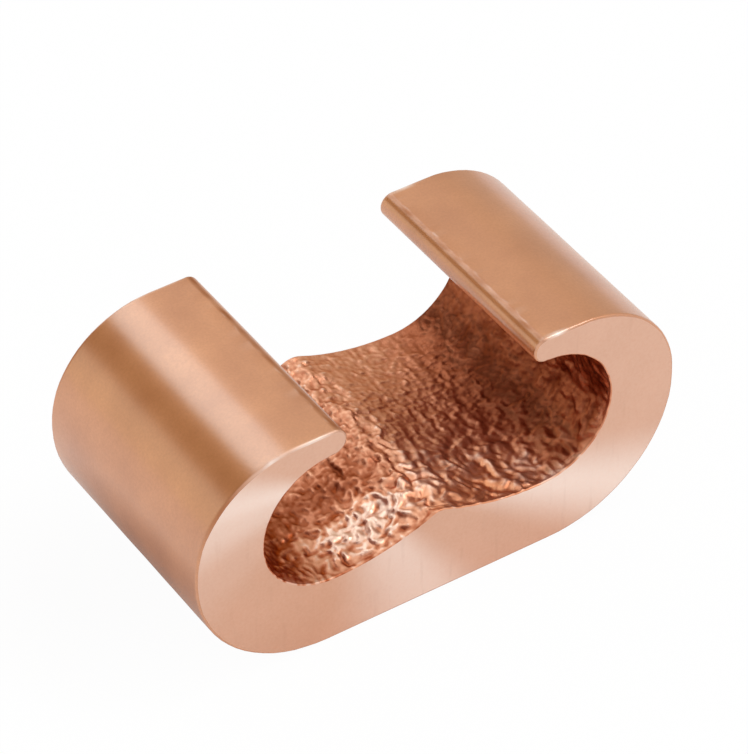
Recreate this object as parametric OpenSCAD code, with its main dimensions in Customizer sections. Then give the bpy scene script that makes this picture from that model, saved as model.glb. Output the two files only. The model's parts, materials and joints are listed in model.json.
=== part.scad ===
// C-type compression connector for joining two stranded conductors side by side.
// One length of an extruded copper C section. The frame is in millimetres: X runs across the two grooves,
// Y along the conductors, and Z up from the flat base to the mouth.

/* [Grooves] */
// Radius of each conductor groove
groove_r = 5.5; // [3:0.1:9]
// Distance between the two grooves, measured between their nearest sides
groove_gap = 5.8; // [2:0.1:12]
// Height of the ridge between the grooves, above the groove bottoms
ridge_h = 1.8; // [0.4:0.1:3]
// Radius of the rounded top of the ridge
ridge_r = 1.6; // [0.4:0.1:3]

/* [Walls] */
// Thickness of the base under each groove
floor_t = 5.5; // [3:0.1:9]
// Thickness of the wall beside each groove
wall_t = 5.3; // [3:0.1:9]
// Thickness of the arm over each groove, at its lip
lip_t = 2; // [1.2:0.1:4]

/* [Outside] */
// Length of the connector along the conductors
body_l = 18.7; // [8:0.1:60]
// Radius of the two outside corners beside the base
base_corner_r = 10.1; // [4:0.1:11]
// Radius of the two outside corners beside the top
top_corner_r = 8; // [4:0.1:9]
// Size of the broken edge around both cut ends
edge_break = 0.2; // [0.1:0.05:0.8]

/* [Hidden] */
$fn = 128;
copper = [0.78, 0.53, 0.40];

// How far a cut runs past the surface that it opens
over = 1;

// Places of the grooves and the overall size of the section
groove_x = groove_gap / 2 + groove_r;
groove_z = floor_t + groove_r;
body_w = 2 * (groove_x + groove_r + wall_t);
body_h = floor_t + 2 * groove_r + lip_t;

// The lips are full rounds, centred straight above the grooves
lip_r = lip_t / 2;
lip_z = body_h - lip_r;

// The floor is two arcs, each level at the bottom of its groove, that run smoothly into the ridge's rounded top
floor_r = (groove_x * groove_x + ridge_h * ridge_h) / (2 * ridge_h) - ridge_r;
ridge_rise = ridge_h - ridge_r;
ridge_z = floor_t + ridge_rise;
meet_x = groove_x * ridge_r / (floor_r + ridge_r);
meet_z = ridge_z + (floor_r - ridge_rise) * ridge_r / (floor_r + ridge_r);

// The corner arcs are held within the height, with a short straight side between them
side_min = 0.2;
corner_fit = min(1, (body_h - side_min) / (base_corner_r + top_corner_r));
base_r = base_corner_r * corner_fit;
top_r = top_corner_r * corner_fit;

// Half of a disc, on the side of its upright diameter that `side` gives
module half_disc(r, side) {
    intersection() {
        circle(r = r);
        translate([side > 0 ? 0 : -r - over, -r - over]) square([r + over, 2 * (r + over)]);
    }
}

// Space over the rounded top of the ridge, as wide as the top and open upwards
module ridge_clearance() {
    difference() {
        translate([-meet_x, meet_z]) square([2 * meet_x, body_h + over - meet_z]);
        translate([0, ridge_z]) circle(r = ridge_r);
    }
}

// Section of the channel: ridged floor, two round grooves, and the mouth between the lips
module channel_section() {
    difference() {
        union() {
            intersection() {
                translate([-groove_x, 0]) square([2 * groove_x, body_h + over]);
                for (side = [-1, 1]) translate([side * groove_x, floor_t + floor_r]) circle(r = floor_r);
            }
            ridge_clearance();
            for (side = [-1, 1]) translate([side * groove_x, groove_z]) half_disc(groove_r, side);
        }
        for (side = [-1, 1]) translate([side * groove_x, lip_z]) half_disc(lip_r, -side);
    }
}

// Slab or corner section from depth 0 to `depth`, as long as the body, with its far edges broken
module broken_section(depth) {
    polygon([
        [0, -body_l / 2],
        [depth - edge_break, -body_l / 2],
        [depth, edge_break - body_l / 2],
        [depth, body_l / 2 - edge_break],
        [depth - edge_break, body_l / 2],
        [0, body_l / 2]
    ]);
}

// Straight stretch of the outside, `width` wide, facing away from the X axis of the section
module outside_slab(depth, width) {
    rotate([90, 0, 90]) linear_extrude(height = width, center = true) broken_section(depth);
}

// Quarter turn of the outside around a corner
module outside_corner(r) {
    rotate_extrude(angle = 90) broken_section(r);
}

// Outside of the connector as a solid bar, lying in the XY plane with its length along Z
module bar() {
    side_y = body_h - top_r;
    union() {
        translate([0, base_r, 0]) mirror([0, 1, 0]) outside_slab(base_r, body_w - 2 * base_r);
        translate([0, side_y, 0]) outside_slab(top_r, body_w - 2 * top_r);
        for (side = [0, 1]) mirror([side, 0, 0]) {
            translate([body_w / 2 - base_r, base_r, 0]) rotate([0, 0, -90]) outside_corner(base_r);
            translate([body_w / 2 - top_r, side_y, 0]) outside_corner(top_r);
            translate([0, (base_r + side_y) / 2, 0]) rotate([0, 0, -90]) outside_slab(body_w / 2, side_y - base_r);
        }
    }
}

module connector_body() {
    color(copper) rotate([90, 0, 0]) difference() {
        bar();
        linear_extrude(height = body_l + 2 * over, center = true) channel_section();
    }
}

connector_body();
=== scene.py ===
import json
import math

import bmesh
import bpy
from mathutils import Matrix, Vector, noise


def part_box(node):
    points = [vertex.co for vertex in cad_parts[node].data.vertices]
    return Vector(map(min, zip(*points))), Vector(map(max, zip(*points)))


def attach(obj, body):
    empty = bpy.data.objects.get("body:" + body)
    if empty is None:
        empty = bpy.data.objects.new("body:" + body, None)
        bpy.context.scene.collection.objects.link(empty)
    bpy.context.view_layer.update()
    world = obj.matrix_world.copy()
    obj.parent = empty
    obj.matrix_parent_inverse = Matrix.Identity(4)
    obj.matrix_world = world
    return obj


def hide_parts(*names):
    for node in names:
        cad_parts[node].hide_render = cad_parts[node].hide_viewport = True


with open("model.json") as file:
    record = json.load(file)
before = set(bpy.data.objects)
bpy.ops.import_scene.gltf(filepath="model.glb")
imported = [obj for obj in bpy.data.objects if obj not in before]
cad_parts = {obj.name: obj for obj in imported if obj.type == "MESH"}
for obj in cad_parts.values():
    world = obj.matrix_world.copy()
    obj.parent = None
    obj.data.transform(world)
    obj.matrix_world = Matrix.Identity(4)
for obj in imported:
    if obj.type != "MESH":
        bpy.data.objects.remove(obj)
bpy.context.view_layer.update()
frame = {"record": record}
scene = bpy.context.scene
scene.view_settings.view_transform = "Standard"

# Camera
# The photograph looks down on the connector from its front left, through a long lens held close to it.
# The lens is aimed a little above and to the right of the middle, as the photograph is framed.
mm = 0.001
image_w = 748
image_h = 754
view_azimuth = math.radians(-33.304)
view_elevation = math.radians(41.282)
view_distance = 297.08 * mm
focal_length_px = 4346.6
aim_height = 9.0 * mm
aim_right = 0.66 * mm
aim_up = 2.5 * mm
to_camera = Vector((
    math.sin(view_azimuth) * math.cos(view_elevation),
    -math.cos(view_azimuth) * math.cos(view_elevation),
    math.sin(view_elevation),
))
camera_right = Vector((math.cos(view_azimuth), math.sin(view_azimuth), 0))
camera_up = to_camera.cross(camera_right)
aim = Vector((0, 0, aim_height)) + camera_right * aim_right + camera_up * aim_up

camera = bpy.data.objects.new("camera", bpy.data.cameras.new("camera"))
camera.data.sensor_width = 36
camera.data.lens = camera.data.sensor_width * focal_length_px / max(image_w, image_h)
camera.data.clip_start = 10 * mm
camera.location = aim + to_camera * view_distance
camera.rotation_euler = to_camera.to_track_quat("Z", "Y").to_euler()
scene.collection.objects.link(camera)
scene.camera = camera

# Connector body
# One length cut off an extruded copper bar of C section: a flat base, two round conductor grooves with a low
# ridge between them, and two arms that end in full-round lips. The outside is smooth from the die, the two
# ends are sawn and their edges broken, and the channel is roughened so that it bites into the conductors.
body_low, body_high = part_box("connector_body")
half_w = body_high.x / mm
half_l = body_high.y / mm
body_h = body_high.z / mm
mounts = {mount["name"]: mount for mount in frame["record"]["mounts"]}
groove_r = mounts["tap_groove"]["dims"]["r_mm"]
groove_x = mounts["tap_groove"]["pos_m"][0] / mm
groove_z = mounts["tap_groove"]["pos_m"][2] / mm
floor_z = groove_z - groove_r
ridge_h = 1.8
ridge_r = 1.6
worn_ridge_r = 5
floor_r = (groove_x ** 2 + ridge_h ** 2) / (2 * ridge_h) - ridge_r
lip_r = (body_h - groove_z - groove_r) / 2
lip_z = body_h - lip_r
top_corner_r = 8.0
base_corner_r = 10.1
edge_break = 0.2
channel_edge = 0.1

# Spacing of the mesh: fine on the floor and walls of the channel, coarser under the arms and outside
channel_grid = 0.11
roof_grid = 0.3
lip_face_steps = 10
lip_crown_steps = 18
corner_steps = 18
edge_steps = 6
merge_gap = 0.0001

body = bmesh.new()
roughened = body.verts.layers.float.new("roughened")
painted_shade = body.verts.layers.float.new("painted_shade")
tone_and_painted_light = body.verts.layers.float.new("tone_and_painted_light")
polish_and_bounce = body.verts.layers.float.new("polish_and_bounce")


def draw_arc(start, centre_x, centre_z, turn, steps):
    """Draws an arc of the section from a vertex round a centre, and gives back its last vertex."""
    drawn = bmesh.ops.spin(
        body, geom=[start], cent=(centre_x, -half_l, centre_z), axis=(0, 1, 0), angle=turn, steps=steps)
    return [part for part in drawn["geom_last"] if isinstance(part, bmesh.types.BMVert)][0]


def draw_line(start, run_x, run_z, steps):
    """Draws a straight stretch of the section from a vertex, and gives back its last vertex."""
    step = (run_x / steps, 0, run_z / steps)
    drawn = bmesh.ops.spin(body, geom=[start], axis=(0, 1, 0), dvec=step, angle=0, steps=steps)
    return [part for part in drawn["geom_last"] if isinstance(part, bmesh.types.BMVert)][0]


ridge_turn = math.asin(groove_x / (floor_r + ridge_r))
ridge_steps = round(ridge_r * ridge_turn / channel_grid)
floor_steps = round(floor_r * ridge_turn / channel_grid)
wall_turn = math.radians(115)
wall_steps = round(groove_r * wall_turn / channel_grid)
roof_steps = round(groove_r * (math.pi - wall_turn) / roof_grid)
lip_face_turn = math.radians(125)
ridge_top = body.verts.new((0, -half_l, floor_z + ridge_h))
ridge_side = draw_arc(ridge_top, 0, floor_z + ridge_h - ridge_r, ridge_turn, ridge_steps)
groove_bottom = draw_arc(ridge_side, groove_x, floor_z + floor_r, -ridge_turn, floor_steps)
groove_wall = draw_arc(groove_bottom, groove_x, groove_z, -wall_turn, wall_steps)
groove_top = draw_arc(groove_wall, groove_x, groove_z, wall_turn - math.pi, roof_steps)
for vert in body.verts:
    vert[roughened] = 1
groove_top[roughened] = 0
lip_face = draw_arc(groove_top, groove_x, lip_z, lip_face_turn, lip_face_steps)
lip_top = draw_arc(lip_face, groove_x, lip_z, math.pi - lip_face_turn, lip_crown_steps)
arm_top = draw_line(lip_top, half_w - top_corner_r - groove_x, 0, 3)
side_top = draw_arc(arm_top, half_w - top_corner_r, body_h - top_corner_r, math.pi / 2, corner_steps)
side_bottom = draw_line(side_top, 0, base_corner_r + top_corner_r - body_h, 1)
base_edge = draw_arc(side_bottom, half_w - base_corner_r, base_corner_r, math.pi / 2, corner_steps)
draw_line(base_edge, base_corner_r - half_w, 0, 2)
bmesh.ops.mirror(body, geom=body.verts[:] + body.edges[:], axis="X", merge_dist=merge_gap)

edge_depths = [edge_break * (1 - math.cos(math.pi / 2 * step / edge_steps)) for step in range(edge_steps + 1)]
straight_l = 2 * half_l - 2 * edge_break
long_steps = round(straight_l / channel_grid)
ring_depths = edge_depths[:]
ring_depths += [edge_break + straight_l / long_steps * step for step in range(1, long_steps)]
ring_depths += [2 * half_l - depth for depth in reversed(edge_depths)]
front_ring = body.edges[:]
ring = front_ring
for near, far in zip(ring_depths, ring_depths[1:]):
    grown = bmesh.ops.extrude_edge_only(body, edges=ring)["geom"]
    moved = {part for part in grown if isinstance(part, bmesh.types.BMVert)}
    bmesh.ops.translate(body, verts=list(moved), vec=(0, far - near, 0))
    ring = [part for part in grown if isinstance(part, bmesh.types.BMEdge) and moved.issuperset(part.verts)]
ends = bmesh.ops.edgeloop_fill(body, edges=front_ring + ring)["faces"]
bmesh.ops.remove_doubles(body, verts=body.verts[:], dist=merge_gap)
bmesh.ops.recalc_face_normals(body, faces=body.faces[:])
body.normal_update()


def ease(value, low, high):
    """Rises smoothly from 0 to 1 as a value goes from low to high."""
    share = min(1, max(0, (value - low) / (high - low)))
    return share * share * (3 - 2 * share)


def bell(value, middle, reach):
    """Falls off smoothly from 1 at a middle value on both sides."""
    return math.exp(-((value - middle) / reach) ** 2)


# Relief of the channel: how closely each kind of lump is set, per millimetre, and how high it stands.
# The streaks are drawn out along the connector, and the skin as a whole is sunk a little into the true wall.
# Wander shifts the lumps sideways, so that they curl.
swell_pitch = 0.45
swell_h = 0.2
lump_pitch = 1.25
lump_h = 0.18
pebble_pitch = 2.4
pebble_h = 0.085
speck_pitch = 3.4
speck_h = 0.06
grit_pitch = 4.4
grit_h = 0.015
streak_pitch = 2.6
streak_draw = 0.35
streak_h = 0.04
sunk_h = 0.06
fold_h = 0.12
wander_pitch = 0.7
wander_reach = 0.9

# Where the relief changes, from and to, along Y or in the run across from the ridge. It is also calm over a
# short length at each end, and under the arms from a height above the middle of the grooves.
calm_behind = (-7, 1)
calm_up_walls = (7, 12)
left_groove = (-1.5, 2)
fine_behind = (-6, 1)
fine_up_right = (7, 11)
right_foot = (7, 10)
front_end = (-7.5, -4.5)
end_calm_l = 0.5
roof_calm_h = 1.5

# The noise gives the same lumps on every run
noise.seed_set(2)


def lump_height(place, run):
    """Height of the roughened skin above the true wall of the channel, in millimetres, and how far up its
    lump a place lies: 1 on a crest, and in a hollow -0.9 in the left groove or -0.5 elsewhere. The lumps are
    coarse at the front, and fine at the back and up the right wall."""
    front_wall = ease(run, *right_foot) * (1 - ease(place.y, *front_end))
    coarse = 1 - 0.65 * ease(place.y, *calm_behind)
    coarse *= 1 - 0.4 * ease(abs(run), *calm_up_walls) * (1 - front_wall)
    left = ease(-run, *left_groove)
    fine = max(ease(place.y, *fine_behind), ease(run, *fine_up_right) * (1 - 0.8 * front_wall))
    wander = noise.noise_vector(place * wander_pitch) * wander_reach
    swell = noise.noise(place * swell_pitch + Vector((2, 9, 4)))
    lumps = noise.noise(place * lump_pitch + wander)
    pebbles = noise.noise(place * pebble_pitch + wander * 1.3 + Vector((7, 3, 5)))
    specks = noise.noise(place * speck_pitch + wander * 0.4 + Vector((5, 2, 8)))
    grit = noise.noise(place * grit_pitch + Vector((1, 6, 2)))
    drawn_out = Vector((place.x * streak_pitch, place.y * streak_draw, place.z * streak_pitch))
    streaks = noise.noise(drawn_out + wander * 0.4)
    height = coarse * (swell_h * swell + (lump_h - 0.05 * left) * lumps) * (1 + 0.7 * bell(run, 0.3, 1.8))
    height += (1 - 0.6 * fine) * (pebble_h + 0.01 * left) * pebbles + speck_h * fine * specks
    height += grit_h * grit + streak_h * streaks - sunk_h
    level = (1.2 - 0.4 * left) * coarse * lumps + (1 - 0.7 * fine) * (0.9 + 0.5 * left) * pebbles
    level += 1.2 * fine * specks + 0.3 * grit
    level = max(-1, min(1, level + 0.3 * streaks))
    calm = 1 - 0.85 * ease(place.z, groove_z + roof_calm_h, groove_z + groove_r)
    calm *= 1 - 0.85 * ease(abs(place.y), half_l - end_calm_l, half_l)
    return calm * height, level if level > 0 else (0.5 + 0.4 * left) * level


# Patches of the channel: run across from the ridge, place along Y, reach across and reach along. The patches
# of painted light and painted shade also have how much brighter or darker the copper is painted there:
# painted highlights of the lamps at the left front, painted light on the ridge, the back, the middle and the
# glints of the right front, and painted shade under the left lip and up the back of the right wall.
ridge_painted_light = (1.2, -2, 1.7, 9, 0.16)
back_painted_light = (3, 10, 6, 5, 0.13)
left_painted_highlight = (-6, -6.8, 4, 1.7, 0.46)
inner_painted_highlight = (-3.4, -5.8, 2.4, 1.7, 0.4)
middle_painted_light = (4, -5.8, 4, 4, 0.33)
right_painted_glints = (8.7, -7.2, 1.8, 2.2, 0.45)
left_painted_shade = (-5, -2.6, 4, 2.4, -0.4)
right_painted_shade = (10, 2.5, 3, 6, -0.15)
painted_lights = (ridge_painted_light, back_painted_light, left_painted_highlight, inner_painted_highlight, middle_painted_light, right_painted_glints)
painted_shades = (left_painted_shade, right_painted_shade)
polished_left = (-5, -6.4, 4, 1.8)
bitten_right = (4.5, -7, 5, 2.4)
left_fold_and_shadow = (-3.1, -1.1, 0.16, 1.2)
floor_shine = 0.54
# Painted shade: how much darker the copper is painted up the walls, under the arms
wall_painted_shade = 0.36
# Painted light: the walls are painted lighter over this length at the front rim
rim_l = 1.3


def within(patch, run, y):
    """How far a place lies within a patch of the channel: 1 in its middle, falling off over its reach."""
    return bell(run, patch[0], patch[2]) * bell(y, patch[1], patch[3])


def channel_painted_brightness(run, y):
    """How bright the copper of the channel is painted, from 0 for dark to 1 for pale, at a run across from
    the ridge. It is painted lightest on the ridge and the front, with painted highlights at the front of the
    left groove, and painted darker up the walls as shade."""
    clean = floor_shine - wall_painted_shade * ease(abs(run), 6, 11.5)
    for patch in painted_lights + painted_shades:
        clean += patch[4] * within(patch, run, y)
    # Painted light: the walls are painted lighter towards the front, most on the front rim
    painted_front_light = 0.05 * ease(-y, 3, 7) + 0.42 * ease(-y, half_l - rim_l, half_l - channel_edge)
    return clean + painted_front_light * ease(abs(run), 7, 10)


def wall_blotch(place, run):
    """How much cleaner or darker a blotch of tarnish makes the copper up the right wall."""
    return ease(run, 8, 11) * (0.14 * noise.noise(place * 0.9 + Vector((4, 1, 7))) - 0.05)


def crest_drop(x, radius):
    """How far a ridge with a top of a given radius lies below the point in which its flanks would meet."""
    top_reach = radius * math.sin(ridge_turn)
    top_drop = radius / math.cos(ridge_turn) - math.sqrt(radius ** 2 - min(abs(x), top_reach) ** 2)
    return top_drop + max(0, abs(x) - top_reach) * math.tan(ridge_turn)


def crest_wear(x):
    """How far the ridge is worn down to a rounder top than it was cut with, at a place across it."""
    return max(0, crest_drop(x, worn_ridge_r) - crest_drop(x, ridge_r))


# Wear and painted light of the outside: turns and reaches in degrees round a lip or a corner for the painted
# dark reflection lines, heights in millimetres, and stretches of the end edges painted with glints, each as a
# place across and a reach
crease_turn = 71
crease_reach = 15
crease_h = 0.006
burr_turn = 13
burr_reach = 5
burr_h = 0.012
die_wave_h = 0.012
shaded_edge_turn = 46
shaded_edge_reach = 17
left_glint = (-11.5, 2.6)
right_glint = (9.2, 1)
lip_glint = (8.8, 0.9)


def lip_shade_and_burr(turn, y):
    """Painted dark reflection line in a shallow crease, and a rolled-over burr with a painted pale highlight,
    along a lip, each from 0 to 1, at a turn in degrees up it.
    """
    middle = crease_turn + 4 * noise.noise(Vector((y * 0.5, 4, 1)))
    crease = min(1, max(0.3, 0.7 + 0.9 * noise.noise(Vector((2, y * 0.7, 3)))))
    burr = min(1, max(0, 2.2 * noise.noise(Vector((turn * 0.06, y * 1.2, 8)))))
    return crease * bell(turn, middle, crease_reach), burr * bell(turn, middle + burr_turn, burr_reach)


def rounding(depth, radius):
    """How far a rounded end edge has fallen away at a depth behind the end face."""
    if depth >= radius:
        return 0
    return radius - math.sqrt(radius ** 2 - (radius - depth) ** 2)


def roughen(vert, out, depth):
    """Moves a vertex of the channel to the roughened skin, and sets its painted light and shade, how polished
    it is, and its painted red shade.
    """
    x, y, z = vert.co
    across = math.atan2(abs(x) - groove_x, groove_z - z)
    run = math.copysign(min(abs(x), groove_x) + groove_r * max(0, across), x)
    height, level = lump_height(vert.co, run)
    # Painted light and shade of the place, with real blotches of tarnish up the right wall
    clean = channel_painted_brightness(run, y) + wall_blotch(vert.co, run)
    rubbed = within(polished_left, run, y)
    bitten = within(bitten_right, run, y)
    fold_and_shadow = within(left_fold_and_shadow, run, y)
    crest = bell(run, -0.6, 2.4) * ease(y, -7, -2)
    front_wall = ease(run, 8, 10) * (1 - ease(y, *front_end))
    # Painted highlight and shade: crests of the lumps are painted lighter and hollows darker, more on the
    # left, on the ridge and at the front of the right wall
    lump_painted_light = 0.1 + 0.14 * clean + 0.22 * ease(-run, 0, 3) + 0.03 * bitten + 0.16 * crest + 0.08 * front_wall
    # The fold under the left lip is a real dent, also painted dark as the lip's shadow
    vert[tone_and_painted_light] = clean + lump_painted_light * level - 0.6 * fold_and_shadow
    # How polished the channel is; below 0, at the front of the right groove, it is rougher and carries the
    # painted orange of bounced light
    vert[polish_and_bounce] = max(0, rubbed * (1 + 0.4 * level)) - bitten * (1 - 0.6 * max(0, level))
    # Painted shade: red in the hollows of the left groove and on its wall, fading out towards the back
    red_shade = 0.9 * ease(-run, 0, 4) * max(0, -level) + 0.22 * ease(-run, 7, 10)
    vert[painted_shade] = red_shade * (1 - ease(y, -4, 2))
    height *= 1 + 0.15 * rubbed + 0.15 * bitten + 0.45 * crest
    vert.co += out * (height - fold_h * fold_and_shadow - rounding(depth, channel_edge))
    crest_x = vert.co.x + 0.5 * noise.noise(Vector((3, y * 0.6, 1)))
    vert.co.z -= crest_wear(crest_x) * ease(depth, 0, 2)


def wear_outside(vert, out, depth):
    """Makes the outside a little wavy at a vertex, wears its end edge, and sets its painted dark reflection
    lines and painted glints.
    """
    burr = 0
    vert.co += out * die_wave_h * noise.noise(vert.co * 0.33)
    corner_x = half_w - top_corner_r
    if abs(vert.co.x) < groove_x and vert.co.z > groove_z:
        turn = math.degrees(math.atan2(vert.co.z - lip_z, groove_x - abs(vert.co.x)))
        # Painted shade along each lip: a dark reflection line in a shallow real crease, and a painted pale
        # highlight on a small real burr
        vert[painted_shade], burr = lip_shade_and_burr(turn, vert.co.y + vert.co.x)
        vert.co += out * (burr_h * burr - crease_h * vert[painted_shade])
    elif vert.co.x < -corner_x:
        turn = math.degrees(math.atan2(-corner_x - vert.co.x, vert.co.z - body_h + top_corner_r))
        edge_strip = 1 - ease(depth, 0.5 * edge_break, 1.6 * edge_break)
        # Painted shade: a dark reflection line along the end edge of the left arm's top corner
        vert[painted_shade] = 0.9 * bell(turn, shaded_edge_turn, shaded_edge_reach) * edge_strip
    worn = edge_break * (0.8 + 0.3 * noise.noise(Vector((vert.co.x * 0.7, vert.co.z * 0.7, 5))))
    vert.co -= out * rounding(depth, min(worn, edge_break))
    # Painted highlight: pale glints along the top end edges beside the lips, reaching further back at the
    # right lip
    glint = bell(vert.co.x, *left_glint) + bell(vert.co.x, *right_glint)
    glint *= ease(vert.co.z, 14, 17) * (0.8 + 0.9 * noise.noise(Vector((vert.co.x * 1.1, vert.co.y, 2))))
    glint_depth = (1.2 + 1.6 * bell(vert.co.x, *lip_glint)) * edge_break
    vert[tone_and_painted_light] = max(0.22 * burr, glint * (1 - ease(depth, 0.3 * edge_break, glint_depth)))


for vert in body.verts:
    out = Vector((vert.normal.x, 0, vert.normal.z)).normalized()
    depth = max(0, half_l - abs(vert.co.y))
    if vert[roughened]:
        roughen(vert, out, depth)
    else:
        wear_outside(vert, out, depth)

die_skin, sawn_end, rough_channel = range(3)
for face in body.faces:
    face.smooth = True
    face.material_index = rough_channel if any(vert[roughened] for vert in face.verts) else die_skin
for face in ends:
    face.smooth = False
    face.material_index = sawn_end
bmesh.ops.scale(body, verts=body.verts[:], vec=(mm, mm, mm))
bmesh.ops.recalc_face_normals(body, faces=body.faces[:])

connector = bpy.data.objects.new("copper_body", bpy.data.meshes.new("copper_body"))
body.to_mesh(connector.data)
body.free()
scene.collection.objects.link(connector)

# The noise of the shared grain lies mostly between these two values
grain_low = 0.3
grain_high = 0.7
copper_grain = bpy.data.node_groups.new("copper_grain", "ShaderNodeTree")
copper_grain.interface.new_socket("Position", in_out="INPUT", socket_type="NodeSocketVector")
copper_grain.interface.new_socket("Grain Scale", in_out="INPUT", socket_type="NodeSocketFloat")
copper_grain.interface.new_socket("Cloud Scale", in_out="INPUT", socket_type="NodeSocketFloat")
copper_grain.interface.new_socket("Grain", in_out="OUTPUT", socket_type="NodeSocketFloat")
copper_grain.interface.new_socket("Cloud", in_out="OUTPUT", socket_type="NodeSocketFloat")
grain_in = copper_grain.nodes.new("NodeGroupInput")
grain_out = copper_grain.nodes.new("NodeGroupOutput")
grain_noise = copper_grain.nodes.new("ShaderNodeTexNoise")
grain_noise.inputs["Detail"].default_value = 3
grain_noise.inputs["Roughness"].default_value = 0.6
cloud_noise = copper_grain.nodes.new("ShaderNodeTexNoise")
cloud_noise.inputs["Detail"].default_value = 4
copper_grain.links.new(grain_in.outputs["Position"], grain_noise.inputs["Vector"])
copper_grain.links.new(grain_in.outputs["Grain Scale"], grain_noise.inputs["Scale"])
copper_grain.links.new(grain_in.outputs["Position"], cloud_noise.inputs["Vector"])
copper_grain.links.new(grain_in.outputs["Cloud Scale"], cloud_noise.inputs["Scale"])
copper_grain.links.new(grain_noise.outputs["Fac"], grain_out.inputs["Grain"])
copper_grain.links.new(cloud_noise.outputs["Fac"], grain_out.inputs["Cloud"])


def start_copper(name, grain_scale, cloud_scale):
    """Starts a copper finish: a metal shader and the shared grain, read from the piece's own coordinates."""
    finish = bpy.data.materials.new(name)
    finish.use_nodes = True
    nodes = finish.node_tree.nodes
    shader = nodes["Principled BSDF"]
    shader.inputs["Metallic"].default_value = 1
    place = nodes.new("ShaderNodeTexCoord")
    grain = nodes.new("ShaderNodeGroup")
    grain.node_tree = copper_grain
    grain.inputs["Grain Scale"].default_value = grain_scale
    grain.inputs["Cloud Scale"].default_value = cloud_scale
    finish.node_tree.links.new(place.outputs["Object"], grain.inputs["Position"])
    return finish, shader, place, grain


def read_layer(finish, name):
    """Reads one of the mesh's own values in a finish, and gives back its socket."""
    layer = finish.node_tree.nodes.new("ShaderNodeAttribute")
    layer.attribute_name = name
    return layer.outputs["Fac"]


def blend_colours(finish, mask, low_colour, high_colour):
    """Blends two colours by a mask, which is a socket, and gives back the colour socket."""
    mix = finish.node_tree.nodes.new("ShaderNodeMix")
    mix.data_type = "RGBA"
    for socket, colour in (("A_Color", low_colour), ("B_Color", high_colour)):
        target = next(inp for inp in mix.inputs if inp.identifier == socket)
        if isinstance(colour, bpy.types.NodeSocket):
            finish.node_tree.links.new(colour, target)
        else:
            target.default_value = (*colour, 1)
    finish.node_tree.links.new(mask, mix.inputs["Factor"])
    return next(out for out in mix.outputs if out.identifier == "Result_Color")


def ramp_colours(finish, value, stops):
    """Turns a value socket from 0 to 1 into colours along a row of stops, and gives the colour socket."""
    ramp = finish.node_tree.nodes.new("ShaderNodeValToRGB")
    ramp.color_ramp.interpolation = "EASE"
    marks = ramp.color_ramp.elements
    while len(marks) < len(stops):
        marks.new(0.5)
    for mark, (position, colour) in zip(marks, stops):
        mark.position = position
        mark.color = (*colour, 1)
    finish.node_tree.links.new(value, ramp.inputs["Fac"])
    return ramp.outputs["Color"]


def spread(finish, value, low, high, to_low, to_high):
    """Maps a value socket from one range to another, and gives back the result's socket."""
    ranged = finish.node_tree.nodes.new("ShaderNodeMapRange")
    for name, number in (("From Min", low), ("From Max", high), ("To Min", to_low), ("To Max", to_high)):
        ranged.inputs[name].default_value = number
    finish.node_tree.links.new(value, ranged.inputs["Value"])
    return ranged.outputs["Result"]


def raise_grain(finish, shader, height, distance):
    """Turns a height socket into a bumpy surface of a given depth in metres."""
    bump = finish.node_tree.nodes.new("ShaderNodeBump")
    bump.inputs["Distance"].default_value = distance
    finish.node_tree.links.new(height, bump.inputs["Height"])
    finish.node_tree.links.new(bump.outputs["Normal"], shader.inputs["Normal"])


# Skin of the outside, satin from the die: cloudy, finely mottled, duller and painted with dark reflection
# lines in the lip creases and along an end edge, and painted with pale glints on end edges and burrs
die_dark = (0.588, 0.218, 0.069)
die_light = (0.702, 0.284, 0.100)
die_fleck = (0.40, 0.14, 0.045)
painted_crease_shade = (0.42, 0.15, 0.055)
painted_edge_glint = (0.98, 0.80, 0.70)
drawn_copper, shader, place, grain = start_copper("drawn_copper", grain_scale=5200, cloud_scale=260)
links = drawn_copper.node_tree.links
grain_value = grain.outputs["Grain"]
cloud = spread(drawn_copper, grain.outputs["Cloud"], grain_low, grain_high, 0, 1)
tone = blend_colours(drawn_copper, cloud, die_dark, die_light)
mottle = spread(drawn_copper, grain_value, grain_low, grain_high, 0, 0.2)
tone = blend_colours(drawn_copper, mottle, tone, die_fleck)
painted_shade_mask = read_layer(drawn_copper, "painted_shade")
# Painted shade: dark reflection lines along the lip creases and one end edge, where the coat is also dulled
tone = blend_colours(drawn_copper, painted_shade_mask, tone, painted_crease_shade)
# Painted highlight: pale glints on the end edges and the lip burrs
tone = blend_colours(drawn_copper, read_layer(drawn_copper, "tone_and_painted_light"), tone, painted_edge_glint)
links.new(tone, shader.inputs["Base Color"])
links.new(spread(drawn_copper, grain_value, grain_low, grain_high, 0.44, 0.54), shader.inputs["Roughness"])
links.new(spread(drawn_copper, painted_shade_mask, 0, 1, 1, 0.15), shader.inputs["Coat Weight"])
shader.inputs["Coat Roughness"].default_value = 0.23
shader.inputs["Coat IOR"].default_value = 2.1
shader.inputs["Specular Tint"].default_value = (0.9, 0.7, 0.6, 1)
raise_grain(drawn_copper, shader, grain_value, 0.004 * mm)

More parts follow.
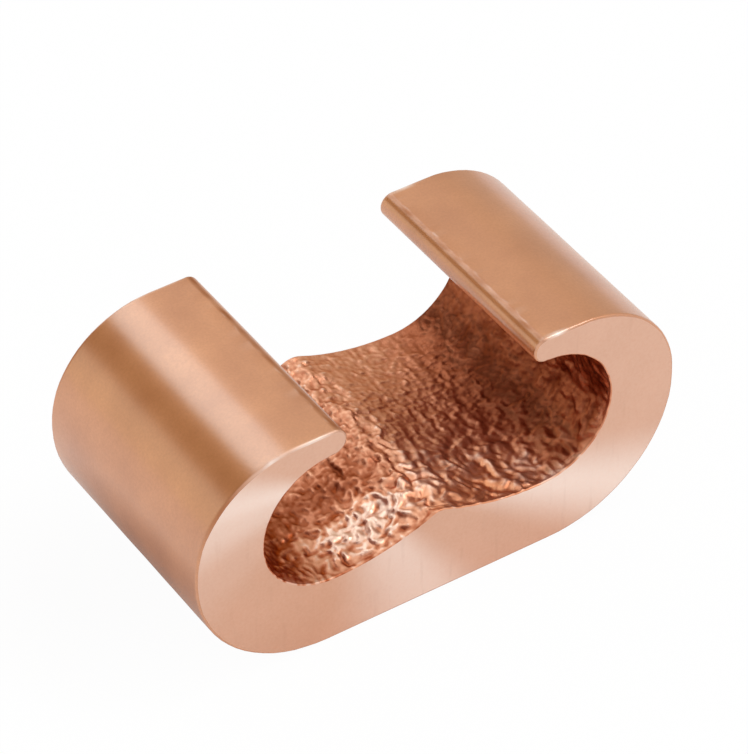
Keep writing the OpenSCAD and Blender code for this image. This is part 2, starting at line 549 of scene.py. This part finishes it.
# Sawn ends: pale, with faint saw marks and painted highlights in bright rays that fan out from a point,
# standing in for reflections along the saw's marks. Each stop of the rays is a turn in degrees and a
# brightness.
sawn_dark = (0.72, 0.412, 0.280)
sawn_light = (0.755, 0.438, 0.302)
sawn_ray_highlight = (0.98, 0.80, 0.71)
saw_mark_brown = (0.52, 0.27, 0.18)
saw_mark_pitch = (1800, 0, 260)
ray_point = (-8 * mm, 0, 14 * mm)
ray_stops = (
    (-180, 0.65), (-160, 0.22), (-135, 0.05), (-97, 0.0), (-61, 0.72), (-48, 0.10),
    (-39, 0.10), (-27, 1.0), (-15, 0.15), (145, 0.15), (168, 0.9), (180, 0.65),
)
sawn_copper, shader, place, grain = start_copper("sawn_copper", grain_scale=4200, cloud_scale=300)
links = sawn_copper.node_tree.links
nodes = sawn_copper.node_tree.nodes
grain_value = grain.outputs["Grain"]
ray_centre = nodes.new("ShaderNodeVectorMath")
ray_centre.operation = "SUBTRACT"
ray_centre.inputs[1].default_value = ray_point
links.new(place.outputs["Object"], ray_centre.inputs[0])
ray_axes = nodes.new("ShaderNodeSeparateXYZ")
links.new(ray_centre.outputs["Vector"], ray_axes.inputs[0])
ray_angle = nodes.new("ShaderNodeMath")
ray_angle.operation = "ARCTAN2"
links.new(ray_axes.outputs["Z"], ray_angle.inputs[0])
links.new(ray_axes.outputs["X"], ray_angle.inputs[1])
ray_turn = spread(sawn_copper, ray_angle.outputs[0], -math.pi, math.pi, 0, 1)
rays = ramp_colours(sawn_copper, ray_turn, [((turn + 180) / 360, (level,) * 3) for turn, level in ray_stops])
cloud = spread(sawn_copper, grain.outputs["Cloud"], grain_low, grain_high, 0, 1)
tone = blend_colours(sawn_copper, cloud, sawn_dark, sawn_light)
# Painted highlight: the rays of reflected light are painted into the colour of the sawn end
tone = blend_colours(sawn_copper, rays, tone, sawn_ray_highlight)
saw_marks = nodes.new("ShaderNodeTexNoise")
saw_marks.inputs["Scale"].default_value = 1
saw_marks.inputs["Detail"].default_value = 3
saw_run = nodes.new("ShaderNodeVectorMath")
saw_run.operation = "MULTIPLY"
saw_run.inputs[1].default_value = saw_mark_pitch
links.new(place.outputs["Object"], saw_run.inputs[0])
links.new(saw_run.outputs["Vector"], saw_marks.inputs["Vector"])
marked = spread(sawn_copper, saw_marks.outputs["Fac"], 0.58, 0.75, 0, 0.12)
tone = blend_colours(sawn_copper, marked, tone, saw_mark_brown)
links.new(tone, shader.inputs["Base Color"])
links.new(spread(sawn_copper, grain_value, grain_low, grain_high, 0.45, 0.6), shader.inputs["Roughness"])
raise_grain(sawn_copper, shader, grain_value, 0.003 * mm)

# Roughened skin of the channel: its ramp runs from dark to pale copper by the painted light and shade of each
# place, painted shade makes it red in the hollows of the left groove, and at the front of the right one it is
# less polished and painted orange with bounced light
channel_tones = (
    (0, (0.19, 0.042, 0.017)), (0.25, (0.38, 0.112, 0.052)), (0.5, (0.60, 0.225, 0.122)),
    (0.75, (0.80, 0.38, 0.23)), (1, (0.935, 0.62, 0.475)),
)
hollow_shade_red = (0.36, 0.07, 0.018)
bounce_orange = (1, 0.36, 0.12)
bitten_copper, shader, place, grain = start_copper("bitten_copper", grain_scale=3800, cloud_scale=400)
links = bitten_copper.node_tree.links
nodes = bitten_copper.node_tree.nodes
polish_and_bounce_value = read_layer(bitten_copper, "polish_and_bounce")
tone = ramp_colours(bitten_copper, read_layer(bitten_copper, "tone_and_painted_light"), channel_tones)
tone = blend_colours(bitten_copper, read_layer(bitten_copper, "painted_shade"), tone, hollow_shade_red)
# Painted light: orange standing in for light bounced between the hollows at the front of the right groove,
# more in hollows than on crests
bounce_share = spread(bitten_copper, polish_and_bounce_value, -1, 0, 0.5, 0)
tone = blend_colours(bitten_copper, bounce_share, tone, bounce_orange)
links.new(tone, shader.inputs["Base Color"])
links.new(spread(bitten_copper, polish_and_bounce_value, -1, 1, 0.44, 0.32), shader.inputs["Roughness"])
shader.inputs["Specular Tint"].default_value = (0.6, 0.3, 0.2, 1)
folds = nodes.new("ShaderNodeMath")
folds.operation = "ABSOLUTE"
links.new(spread(bitten_copper, grain.outputs["Grain"], grain_low, grain_high, -1, 1), folds.inputs[0])
raise_grain(bitten_copper, shader, folds.outputs[0], 0.006 * mm)

for finish in (drawn_copper, sawn_copper, bitten_copper):
    connector.data.materials.append(finish)
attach(connector, "root")
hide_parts("connector_body")

# Floor
# A sheet of plain white card that the connector stands on, with a warm, darker painted shadow under its left
# side that shows in the copper. The card shows white to the camera and keeps the soft shadow under the
# connector.
card_r = 3
card_gap = 0.05 * mm
card_white = (0.9, 0.9, 0.9)
painted_shadow_brown = (0.30, 0.18, 0.14)
painted_shadow_place = (-19 * mm, 4 * mm, 0)
painted_shadow_inner_r = 3 * mm
painted_shadow_outer_r = 13 * mm
white_in_copper = 0.25
white_to_camera = 0.97
card = bmesh.new()
bmesh.ops.create_circle(card, cap_ends=True, segments=96, radius=card_r)
bmesh.ops.translate(card, verts=card.verts[:], vec=(0, 0, body_low.z - card_gap))
floor = bpy.data.objects.new("floor", bpy.data.meshes.new("floor"))
card.to_mesh(floor.data)
card.free()
scene.collection.objects.link(floor)
white_card = bpy.data.materials.new("white_card")
white_card.use_nodes = True
nodes = white_card.node_tree.nodes
links = white_card.node_tree.links
nodes.remove(nodes["Principled BSDF"])
paper = nodes.new("ShaderNodeBsdfDiffuse")
place = nodes.new("ShaderNodeTexCoord")
reach = nodes.new("ShaderNodeVectorMath")
reach.operation = "DISTANCE"
reach.inputs[1].default_value = painted_shadow_place
links.new(place.outputs["Object"], reach.inputs[0])
unshadowed = spread(white_card, reach.outputs["Value"], painted_shadow_inner_r, painted_shadow_outer_r, 0, 1)
links.new(blend_colours(white_card, unshadowed, painted_shadow_brown, card_white), paper.inputs["Color"])
glow = nodes.new("ShaderNodeEmission")
rays = nodes.new("ShaderNodeLightPath")


def card_math(operation, first, second):
    """Joins two values of the card's material, and gives back the result's socket."""
    joined = nodes.new("ShaderNodeMath")
    joined.operation = operation
    for entry, value in zip(joined.inputs, (first, second)):
        if isinstance(value, bpy.types.NodeSocket):
            links.new(value, entry)
        else:
            entry.default_value = value
    return joined.outputs[0]


in_copper = card_math("MAXIMUM", rays.outputs["Is Glossy Ray"], rays.outputs["Is Transmission Ray"])
copper_share = card_math("MULTIPLY", in_copper, white_in_copper)
camera_share = card_math("MULTIPLY", rays.outputs["Is Camera Ray"], white_to_camera)
mixed = nodes.new("ShaderNodeMixShader")
links.new(card_math("MAXIMUM", copper_share, camera_share), mixed.inputs[0])
links.new(paper.outputs[0], mixed.inputs[1])
links.new(glow.outputs[0], mixed.inputs[2])
links.new(mixed.outputs[0], nodes["Material Output"].inputs["Surface"])
floor.data.materials.append(white_card)

# Studio light
# A pale room that is greyer on the right and warm low down behind on the left, with a dark gap above that.
# A large soft box hangs behind the connector, and a small bright one on its right.
room = bpy.data.worlds.new("room")
scene.world = room
room.use_nodes = True
nodes = room.node_tree.nodes
links = room.node_tree.links
looked_at = nodes.new("ShaderNodeTexCoord")


def sky_point(azimuth, elevation):
    """Direction to a place in the room: azimuth from +Y towards +X and elevation, in degrees."""
    turn = math.radians(azimuth)
    rise = math.radians(elevation)
    return Vector((math.sin(turn) * math.cos(rise), math.cos(turn) * math.cos(rise), math.sin(rise)))


def shade_room(colour, azimuth, elevation, outer, inner, shade):
    """Shades a round part of the room, from an outer to an inner radius in degrees, and gives its colour."""
    toward = nodes.new("ShaderNodeVectorMath")
    toward.operation = "DOT_PRODUCT"
    toward.inputs[1].default_value = sky_point(azimuth, elevation)
    links.new(looked_at.outputs["Generated"], toward.inputs[0])
    inside = nodes.new("ShaderNodeMapRange")
    inside.interpolation_type = "SMOOTHSTEP"
    inside.inputs["From Min"].default_value = math.cos(math.radians(outer))
    inside.inputs["From Max"].default_value = math.cos(math.radians(inner))
    links.new(toward.outputs["Value"], inside.inputs["Value"])
    return blend_colours(room, inside.outputs["Result"], colour, shade)


# Parts of the room: azimuth, elevation, outer radius and inner radius in degrees, and colour
grey_right = (58, 18, 48, 12, (0.69, 0.67, 0.58))
warm_left = (-49, 12, 20, 8, (0.95, 0.93, 0.76))
dark_gap = (-37.5, 39.5, 19.5, 10, (0.01, 0, 0))
room_colour = (0.95, 0.95, 0.95)
for part in (grey_right, warm_left, dark_gap):
    room_colour = shade_room(room_colour, *part)
links.new(room_colour, nodes["Background"].inputs["Color"])


def hang_soft_box(name, azimuth, elevation, size, level, colour):
    """Hangs a round soft box that faces the connector; level is how bright its face looks, 1 being white."""
    distance = 420 * mm
    lamp = bpy.data.lights.new(name, "AREA")
    lamp.shape = "DISK"
    lamp.size = size
    lamp.color = colour
    lamp.energy = level * math.pi * math.pi * (size / 2) ** 2
    stand = bpy.data.objects.new(name, lamp)
    stand.location = sky_point(azimuth, elevation) * distance
    stand.rotation_euler = sky_point(azimuth, elevation).to_track_quat("Z", "Y").to_euler()
    stand.visible_camera = False
    scene.collection.objects.link(stand)


hang_soft_box("back_soft_box", azimuth=-4, elevation=53, size=210 * mm, level=1.42, colour=(0.67, 0.9, 1))
hang_soft_box("front_soft_box", azimuth=105, elevation=58, size=120 * mm, level=7.6, colour=(1, 0.96, 0.91))
